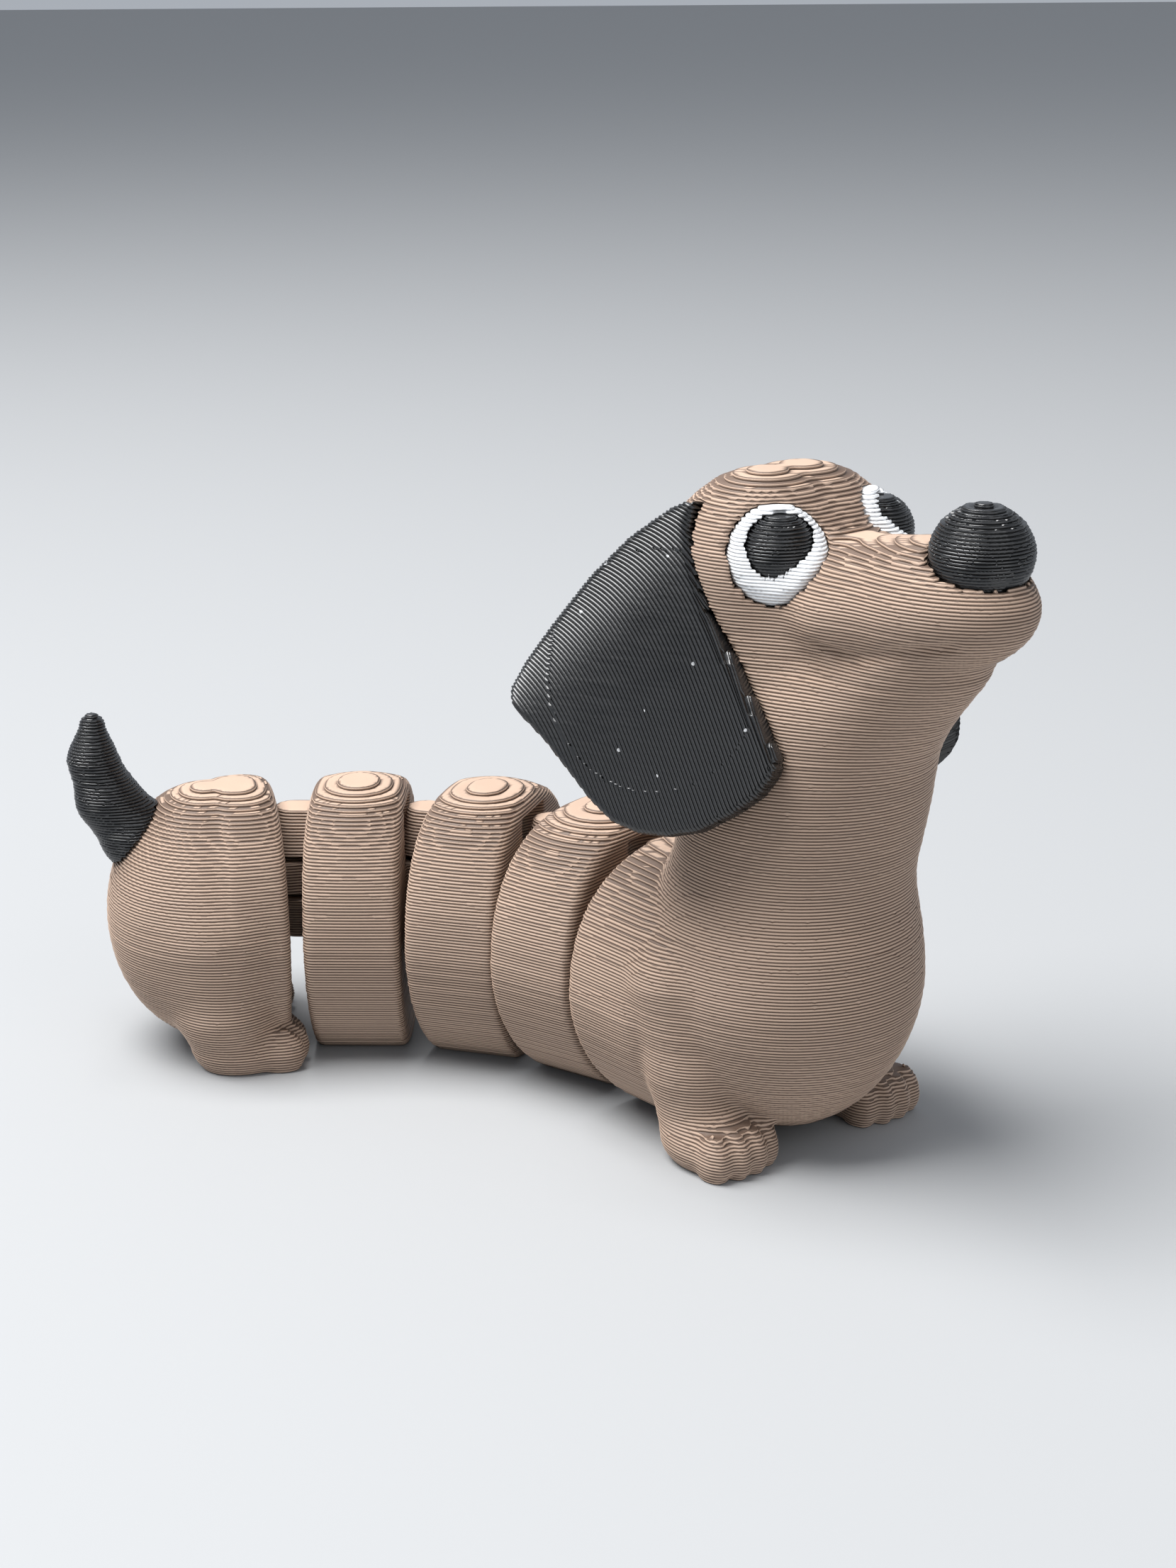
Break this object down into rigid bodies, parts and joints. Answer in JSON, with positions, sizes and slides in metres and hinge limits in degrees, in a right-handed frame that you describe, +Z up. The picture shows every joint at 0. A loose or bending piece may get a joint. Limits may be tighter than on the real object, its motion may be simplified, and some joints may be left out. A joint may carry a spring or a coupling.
{
  "type": "articulated dachshund toy",
  "caption": "Print-in-place sausage dog: three flat rings between a chest-and-head piece and the haunches, bending sideways on upright pin hinges.",
  "frame": {"origin": "centre of the bounding box, on the surface that the toy stands on, in the stored bent pose", "axes": "+X along the length of the bent toy towards the nose, +Z up, -Y the side that the chest turns towards"},
  "size_m": [0.059, 0.0394, 0.0423],
  "materials": {
    "brown": "matte printed plastic with visible layer lines",
    "black": "satin printed plastic with visible layer lines",
    "white": "matte printed plastic with visible layer lines"
  },
  "bodies": {
    "chest": {"front_body": "brown", "nose": "black", "ear_left": "black", "ear_right": "black", "eye_left": "white", "eye_right": "white", "pupil_left": "black", "pupil_right": "black"},
    "front_ring": {"segment_front": "brown"},
    "middle_ring": {"segment_middle": "brown"},
    "rear_ring": {"segment_rear": "brown"},
    "haunches": {"rear_body": "brown", "tail": "black"}
  },
  "joints": [
    {"name": "chest_hinge", "type": "hinge", "parent": "chest", "child": "front_ring", "pos_m": [0.00957, 0.00363, 0.0117], "axis": [0, 0, 1], "range_deg": [-32.8, 4.4]},
    {"name": "front_hinge", "type": "hinge", "parent": "front_ring", "child": "middle_ring", "pos_m": [0.00223, 0.00896, 0.0117], "axis": [0, 0, 1], "range_deg": [-37, 0.2]},
    {"name": "middle_hinge", "type": "hinge", "parent": "middle_ring", "child": "rear_ring", "pos_m": [-0.00625, 0.01165, 0.0117], "axis": [0, 0, 1], "range_deg": [-34.6, 2.6]},
    {"name": "rear_hinge", "type": "hinge", "parent": "rear_ring", "child": "haunches", "pos_m": [-0.01509, 0.0119, 0.0117], "axis": [0, 0, 1], "range_deg": [-31.9, 5.3]}
  ]
}
